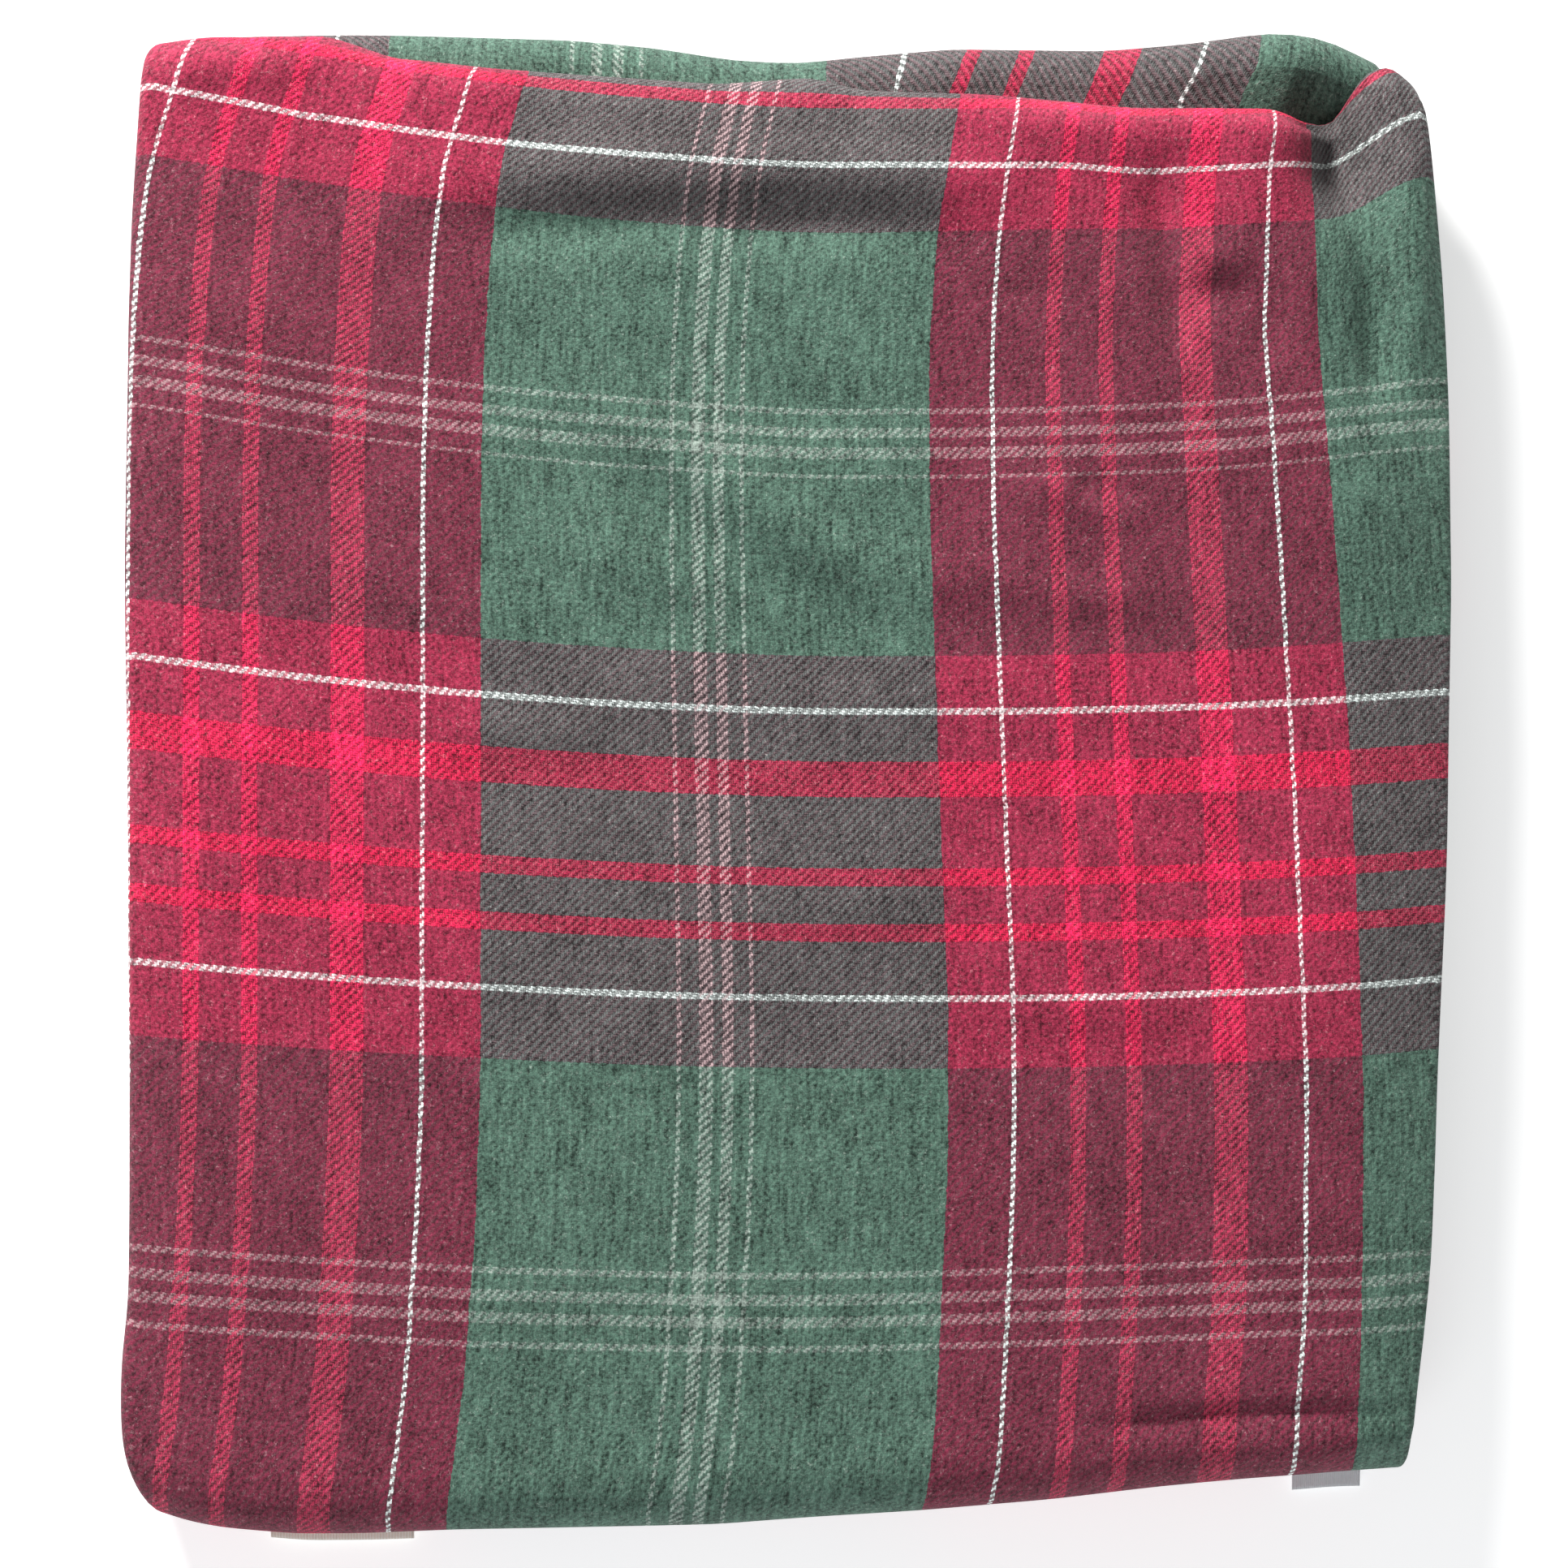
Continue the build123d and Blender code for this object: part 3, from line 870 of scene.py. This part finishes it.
def plaid_cloth():
    """Brushed 2/2 twill with the plaid woven in: thread by thread, from cloth coordinates."""
    n = Nodes("plaid_twill")
    uv = n.add("ShaderNodeUVMap", uv_map="cloth").outputs[0]
    place = n.add("ShaderNodeVectorMath", operation="SCALE")
    n.put(place.inputs[0], uv)
    place.inputs["Scale"].default_value = 1000.0
    place = place.outputs[0]
    parts = n.add("ShaderNodeSeparateXYZ")
    n.put(parts.inputs[0], place)
    # Threads wander a little, so that columns and rows of the weave aren't dead straight
    sway = n.spread(n.noise(place, 0.22, 2.0), 1.2)
    sway = n.math("ADD", sway, n.spread(n.noise(place, 1.1, 1.0), 0.8))
    lilt = n.spread(n.noise(n.moved(place, 31.0), 0.9, 2.0), 1.2)
    across = n.math("MULTIPLY_ADD", parts.outputs[0], 1 / THREAD, sway)
    along = n.math("MULTIPLY_ADD", parts.outputs[1], 1 / THREAD, lilt)
    column, row = n.math("FLOOR", across), n.math("FLOOR", along)

    def sett(thread, repeat, start, band, *kinds):
        """Marks for a thread: is it in the band, and in each other kind of stripe."""
        distance = n.math("MULTIPLY_ADD", thread, THREAD, THREAD / 2 - start)
        turned = n.math("FLOORED_MODULO", distance, repeat)
        return [n.stripes(turned, spans) for spans in ([(0.0, band)], *kinds)]

    warp = sett(column, WARP_REPEAT, WARP_START, WARP_BAND, WARP_REDS, WARP_WHITES, WARP_PALES)
    weft = sett(row, WEFT_REPEAT, WEFT_START, WEFT_BAND, WEFT_REDS, WEFT_WHITES, WEFT_PALES)
    reverse = n.add("ShaderNodeAttribute", attribute_name="reverse").outputs["Fac"]
    flipped = n.math("GREATER_THAN", reverse, 0.5)
    faced = n.math("SUBTRACT", 1.0, flipped)

    def pick(first, second):
        """First on the cloth's face, and second on its back."""
        return n.math("ADD", n.math("MULTIPLY", first, faced), n.math("MULTIPLY", second, flipped))

    over = n.math("LESS_THAN", n.math("FLOORED_MODULO", n.math("SUBTRACT", column, row), 4.0), 1.5)
    over = pick(over, n.math("SUBTRACT", 1.0, over))
    under = n.math("SUBTRACT", 1.0, over)
    warp, weft = [pick(p, q) for p, q in zip(warp, weft)], [pick(q, p) for p, q in zip(warp, weft)]

    ground = n.mix(weft[0], n.mix(warp[0], GREEN, MAROON), n.mix(warp[0], GREY, CRIMSON))
    ground = n.mix(warp[1], ground, n.mix(weft[0], RED_WARP_ON_GREEN, RED_WARP_ON_MAROON))
    ground = n.mix(weft[1], ground, n.mix(warp[0], RED_WEFT_ON_GREEN, RED_WEFT_ON_MAROON))
    ground = n.mix(n.math("MULTIPLY", warp[1], weft[1]), ground, RED_ON_RED)
    warp_yarn = n.mix(warp[1], n.mix(warp[0], GREEN_YARN, MAROON_YARN), RED_YARN)
    weft_yarn = n.mix(weft[1], n.mix(weft[0], GREEN_YARN, MAROON_YARN), RED_YARN)
    colour = n.mix(0.12, ground, n.mix(over, weft_yarn, warp_yarn))
    for (_, _, white, pale), top, crossed in ((warp, over, weft[0]), (weft, under, warp[0])):
        dyed = n.math("MULTIPLY", pale, n.math("MULTIPLY_ADD", top, 0.42, 0.06))
        colour = n.mix(dyed, colour, n.mix(crossed, PALE_YARN, PALE_ON_RED))
        bleached = n.math("MULTIPLY", white, n.math("MULTIPLY_ADD", top, 0.72, 0.16))
        colour = n.mix(bleached, colour, n.mix(crossed, WHITE_YARN, WHITE_ON_RED))

    def rounded(thread):
        """0 at a thread's edges and 1 along its middle."""
        return n.math("SINE", n.math("MULTIPLY", n.math("FRACT", thread), math.pi))

    # Relief of the weave: rounded floats, and pits where the floats end, both bumped and painted as shade
    warp_float = n.math("MULTIPLY", over, rounded(across))
    weft_float = n.math("MULTIPLY", under, rounded(along))
    diagonal = n.math("SINE", n.math("MULTIPLY", n.math("SUBTRACT", across, along), math.pi / 2))
    floats = n.math("MULTIPLY_ADD", warp_float, 0.6, n.math("MULTIPLY", weft_float, 0.45))
    weave = n.math("ADD", floats, n.math("MULTIPLY", diagonal, 0.22))
    # It shows most on stripes and on the grey, and least where the nap is thick
    striped = n.math("MAXIMUM", warp[1], weft[1])
    mixed = n.math("MULTIPLY", weft[0], n.math("SUBTRACT", 1.0, warp[0]))
    bare = n.math("MULTIPLY_ADD", n.math("MAXIMUM", striped, mixed), 0.62, 0.30)

    # The brushed nap: soft tufts, ribs left by the brushing, and curly fibres
    fuzz = n.noise(place, 1.05, 4.0, 0.72)
    tufts = n.noise(n.moved(place, 17.0), 0.33, 3.0, 0.6)
    cloud = n.noise(place, 0.045, 3.0, 0.55)
    ribs = n.noise(n.moved(place, 5.0, 0.0, (1.0, 0.12, 1.0)), 0.8, 1.0)
    curls = n.math("MAXIMUM", n.hairs(place, 0.62, 3.0, 0.0, (1, 1, 1), 0.022),
                   n.hairs(place, 0.8, 47.0, 0.6, (1.3, 0.7, 1), 0.020))
    colour = n.mix(n.math("MULTIPLY", curls, 0.15), colour, CURL_COLOUR)
    light = n.math("MULTIPLY_ADD", n.spread(fuzz, 1.0), 3.2, 1.0)
    # Painted shade of the weave: floats lighter along their middles, darker at their edges and in the pits
    light = n.math("ADD", light, n.math("MULTIPLY", n.spread(weave, 1.5, 0.30), bare))
    light = n.math("ADD", light, n.spread(tufts, 0.9))
    light = n.math("ADD", light, n.spread(cloud, 0.6))
    ribbed = n.math("MULTIPLY_ADD", n.math("MAXIMUM", warp[0], weft[0]), -0.5, 1.2)
    light = n.math("ADD", light, n.math("MULTIPLY", n.spread(ribs, 1.0), ribbed))
    light = n.math("MAXIMUM", n.math("MULTIPLY_ADD", curls, 0.42, light), 0.2)
    shaded = n.add("ShaderNodeVectorMath", operation="SCALE")
    n.put(shaded.inputs[0], colour)
    n.put(shaded.inputs["Scale"], light)
    n.put(n.shader.inputs["Base Color"], shaded.outputs[0])
    n.put(n.shader.inputs["Roughness"], n.math("MULTIPLY_ADD", fuzz, 0.2, 0.78))
    n.shader.inputs["Specular IOR Level"].default_value = 0.12
    n.shader.inputs["Sheen Weight"].default_value = 0.10
    n.shader.inputs["Sheen Roughness"].default_value = 0.5
    height = n.math("MULTIPLY_ADD", n.math("MULTIPLY", weave, bare), 0.9,
                    n.math("MULTIPLY", fuzz, 1.6))
    height = n.math("MULTIPLY_ADD", tufts, 1.6, height)
    height = n.math("MULTIPLY_ADD", curls, 0.35, height)
    n.bump(height, 0.00032, 0.9)
    return n.material


def sewing_thread():
    """Dark red twisted thread, painted darker in the grooves of its twist as shade."""
    n = Nodes("sewing_thread")
    coordinates = n.add("ShaderNodeTexCoord").outputs["Object"]
    wave = n.add("ShaderNodeTexWave", bands_direction="DIAGONAL")
    n.put(wave.inputs["Vector"], coordinates)
    wave.inputs["Scale"].default_value = 900
    # Painted shade: the grooves of the twist take the darker red, the plies' tops the lighter one
    twist_shade = n.mix(wave.outputs["Fac"], (0.05, 0.012, 0.02, 1), (0.13, 0.03, 0.05, 1))
    n.put(n.shader.inputs["Base Color"], twist_shade)
    n.shader.inputs["Roughness"].default_value = 0.6
    n.shader.inputs["Sheen Weight"].default_value = 0.3
    n.bump(wave.outputs["Fac"], 0.0001)
    return n.material


def label_cloth(name, light, dark, rib, roughness):
    """Ribbed or satin tape: fine ribs across, painted darker in their grooves as shade, with a little dirt and fuzz.
    """
    n = Nodes(name)
    coordinates = n.add("ShaderNodeTexCoord").outputs["Object"]
    wave = n.add("ShaderNodeTexWave", bands_direction="X")
    n.put(wave.inputs["Vector"], coordinates)
    wave.inputs["Scale"].default_value = rib
    fuzz = n.noise(coordinates, 1400.0, 4.0, 0.7, flat=False)
    # Painted shade: the grooves between the ribs take the dark colour, the ribs' tops the light one
    share = n.math("MULTIPLY", wave.outputs["Fac"], n.math("MULTIPLY_ADD", fuzz, 0.6, 0.5))
    n.put(n.shader.inputs["Base Color"], n.mix(share, dark, light))
    n.shader.inputs["Roughness"].default_value = roughness
    n.shader.inputs["Sheen Weight"].default_value = 0.2
    n.bump(n.math("ADD", wave.outputs["Fac"], fuzz), 0.0002)
    return n.material


def floor_paper():
    """Plain paper, lifted a little so that it stays pale round the packet."""
    n = Nodes("studio_floor")
    n.put(n.shader.inputs["Base Color"], (0.80, 0.80, 0.80, 1))
    n.put(n.shader.inputs["Emission Color"], (1.0, 1.0, 1.0, 1))
    n.shader.inputs["Emission Strength"].default_value = 0.5
    n.shader.inputs["Roughness"].default_value = 0.9
    return n.material


# ------------------------------------------------------------ camera and light
def set_camera():
    """Looks straight down, with a frame as wide as the photo's at the packet's top."""
    height, frame_width, sensor = 1.10, 0.3875, 36.0
    camera = bpy.data.objects.new("camera", bpy.data.cameras.new("camera"))
    bpy.context.collection.objects.link(camera)
    camera.location = (0.0, 0.0, TOP + height)
    camera.data.lens = sensor * height / frame_width
    camera.data.sensor_width = sensor
    camera.data.dof.use_dof = False
    bpy.context.scene.camera = camera


def area_light(name, place, size, power, colour):
    """A round soft light that points at the packet's middle."""
    light = bpy.data.objects.new(name, bpy.data.lights.new(name, "AREA"))
    light.data.shape = "DISK"
    light.data.size = size
    light.data.energy = power
    light.data.color = colour
    light.location = place
    aim = Vector((0, 0, 0.02)) - Vector(place)
    light.rotation_euler = aim.to_track_quat("-Z", "Y").to_euler()
    bpy.context.collection.objects.link(light)


def set_studio():
    """The floor, a key light at the far left, a weak fill and an even sky."""
    bpy.ops.mesh.primitive_plane_add(size=6.0, location=(0, 0, -0.0002))
    floor = bpy.context.active_object
    floor.name = "studio_floor"
    floor.data.materials.append(floor_paper())
    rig.stage(floor)
    area_light("key_light", (-0.50, 1.25, 0.80), 0.40, 38.0, (1.0, 0.99, 0.97))
    area_light("fill_light", (-0.2, -1.1, 1.0), 1.2, 8.0, (0.92, 0.96, 1.0))
    world = bpy.data.worlds.new("soft_sky")
    world.use_nodes = True
    sky = world.node_tree.nodes["Background"]
    sky.inputs["Color"].default_value = (1, 1, 1, 1)
    sky.inputs["Strength"].default_value = 0.28
    bpy.context.scene.world = world
    bpy.context.scene.view_settings.view_transform = "Standard"


# ------------------------------------------------------------ pieces
cloth_material = plaid_cloth()
thread_material = sewing_thread()
WIDE = width_profile(HIDDEN, HIDDEN)
WIDE_TOP = width_profile(SEEN, COARSE)
HEM = hem_profile()

CLOTH_ENDS = (("bottom", "bottom_panel", BOTTOM_END), ("tucked", "top_panel", TUCKED_END))
# Each roll's kind, the bodies below and above it, its axis' height, and its radius at a height
ROLLS = (
    ("near_roll", "middle_panel", "top_panel", 2.5 * PANEL, lambda w: PANEL / 2 + w),
    ("far_roll", "bottom_panel", "middle_panel", PANEL, lambda w: PANEL - w),
)
ROLL_OF_SHEET = {"bottom": "far_roll", "middle": "near_roll"}


def flat_size(profile, rows):
    """Width and length of the cloth in a piece, in metres."""
    width = abs(profile["u"][0] - profile["u"][-1])
    mean = np.array([np.mean(profile["w"])])
    first, last = (path_point(*row[:2], mean)[2][0] for row in (rows[0], rows[-1]))
    return float(width), float(abs(first - last))


def dressed(obj, material, body, slot, *nodes):
    """Gives a piece its material and slot, the body it rides on if any, and its CAD nodes."""
    obj.data.materials.append(material)
    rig.slot(obj, slot)
    if nodes:
        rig.replaces(obj, *nodes)
    if body:
        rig.ride(obj, body)
    return obj


def panels():
    """The four panels and the top roll, each riding on its own body."""
    top_rows = rows_between("top", NEAR_AXIS, TOP_AXIS, SEEN)[:-1]
    spans = {
        "bottom": ("bottom_panel", WIDE,
                   rows_between("bottom", BOTTOM_END + END_HEM, FAR_AXIS, HIDDEN)),
        "middle": ("middle_panel", WIDE, rows_between("middle", NEAR_AXIS, FAR_AXIS, HIDDEN)),
        "top": ("top_panel", WIDE_TOP, top_rows + rows_between("top_roll", 0.0, math.pi, ROLL)),
        "tucked": ("top_panel", WIDE,
                   rows_between("tucked", TOP_AXIS, TUCKED_END + END_HEM, HIDDEN)),
    }
    pieces = {}
    for name, (body, profile, rows) in spans.items():
        cloth = sweep(f"{name}_cloth", profile, rows)
        dressed(cloth, cloth_material, body, "plaid_cloth", f"{name}_panel")
        hem = sweep(f"{name}_hem", HEM, rows)
        dressed(hem, cloth_material, body, "hem", f"{name}_side_hem")
        pieces[name] = (cloth, flat_size(profile, rows), [hem])
    for name, body, start in CLOTH_ENDS:
        rows = tapered(rows_between(name, start, start + END_HEM, END_STEP))
        end = sweep(f"{name}_end_hem_cloth", WIDE, rows, END_SCALE)
        pieces[name][2].append(dressed(end, cloth_material, body, "hem", f"{name}_end_hem"))
    return pieces


def bend_span(kind, level, reach):
    """Where a roll's blend starts and ends: inside the roll, so its ends keep to their panels
    where the relief moves them, and for the near roll centred on its hinge, at two panels."""
    if kind == "near_roll":
        low, high = (level - reach) * 1.04, 4 * PANEL - level + reach
    else:
        low, high = (level - reach) * 1.08, (level + reach) * 0.94
    return {"start": (0, 0, low), "end": (0, 0, high)}


def rolls():
    """The near and far rolls, one piece for each layer, that bend from panel to panel."""
    layers = {"tucked_layer": ([0, 1], 2.5), "outer_layer": ([2, 3], 3.5),
              "inner_layer": ([4, 5], 1.5), "lower_layer": ([6], 0.5)}
    made = {}
    for kind, low, high, level, radius in ROLLS:
        rows = rows_between(kind, 0.0, math.pi, ROLL)
        made[kind] = []
        for layer, (runs, w) in layers.items():
            stretch = part_of(WIDE_TOP if layer == "outer_layer" else WIDE, runs)
            obj = sweep(f"{kind}_{layer}", stretch, rows)
            dressed(obj, cloth_material, None, "plaid_cloth")
            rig.blend(obj, low, high, **bend_span(kind, level, radius(w * PITCH)))
            made[kind].append(obj)
        hem = dressed(sweep(f"{kind}_hem", HEM, rows), cloth_material, None, "hem")
        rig.blend(hem, low, high, **bend_span(kind, level, radius(0.5 * PITCH)))
        made[kind].append(hem)
    return made


def threads():
    """The stitching of the side hems and end hems."""
    stretches = {
        "bottom": (BOTTOM_END + END_HEM, FAR_AXIS, "bottom_panel"),
        "middle": (NEAR_AXIS, FAR_AXIS, "middle_panel"),
        "top": (NEAR_AXIS, TOP_AXIS, "top_panel"),
        "tucked": (TOP_AXIS, TUCKED_END + END_HEM, "top_panel"),
    }
    for name, (start, end, body) in stretches.items():
        line = side_stitches(f"{name}_side_stitches", name, start, end)
        dressed(line, thread_material, body, "thread", f"{name}_side_thread")
    for kind, low, high, level, radius in ROLLS:
        reach = radius(PITCH / 2)
        line = side_stitches(f"{kind}_side_stitches", kind, 0.0, math.pi, reach)
        dressed(line, thread_material, None, "thread")
        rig.blend(line, low, high, **bend_span(kind, level, reach))
    line = side_stitches("top_roll_side_stitches", "top_roll", 0.0, math.pi, PITCH / 2 + 0.0012)
    dressed(line, thread_material, "top_panel", "thread")
    for name, body, start in CLOTH_ENDS:
        line = end_stitches(f"{name}_end_stitches", name, start + END_HEM - STITCH_INSET)
        dressed(line, thread_material, body, "thread", f"{name}_end_thread")


def labels():
    """The two blank labels in the bottom panel's end hem."""
    ribbed = label_cloth("ribbed_tape", (1.0, 0.96, 0.88, 1), (0.86, 0.78, 0.66, 1), 420.0, 0.75)
    satin = label_cloth("satin_tape", (0.98, 0.99, 1.0, 1), (0.90, 0.93, 0.97, 1), 900.0, 0.38)
    woven = label_sheet("woven_label_tape", -0.1350, -0.0960, 0.0058, 0.0010)
    dressed(woven, ribbed, "bottom_panel", "woven_label", "woven_label")
    care = label_sheet("care_label_tape", 0.1350, 0.1550, 0.0078, 0.0014)
    dressed(care, satin, "bottom_panel", "care_label", "care_label")


set_camera()
set_studio()
made_panels = panels()
made_rolls = rolls()
threads()
labels()
for name, (cloth, size, hems) in made_panels.items():
    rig.sheet(cloth, flat=size, held="folded",
             with_pieces=hems + made_rolls.get(ROLL_OF_SHEET.get(name), []))

with open("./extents.json", "w") as out:
    json.dump({"cad": [list(map(float, c)) for c in CAD_BOX],
               "visual": [list(map(float, c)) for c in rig.bounds()]}, out)
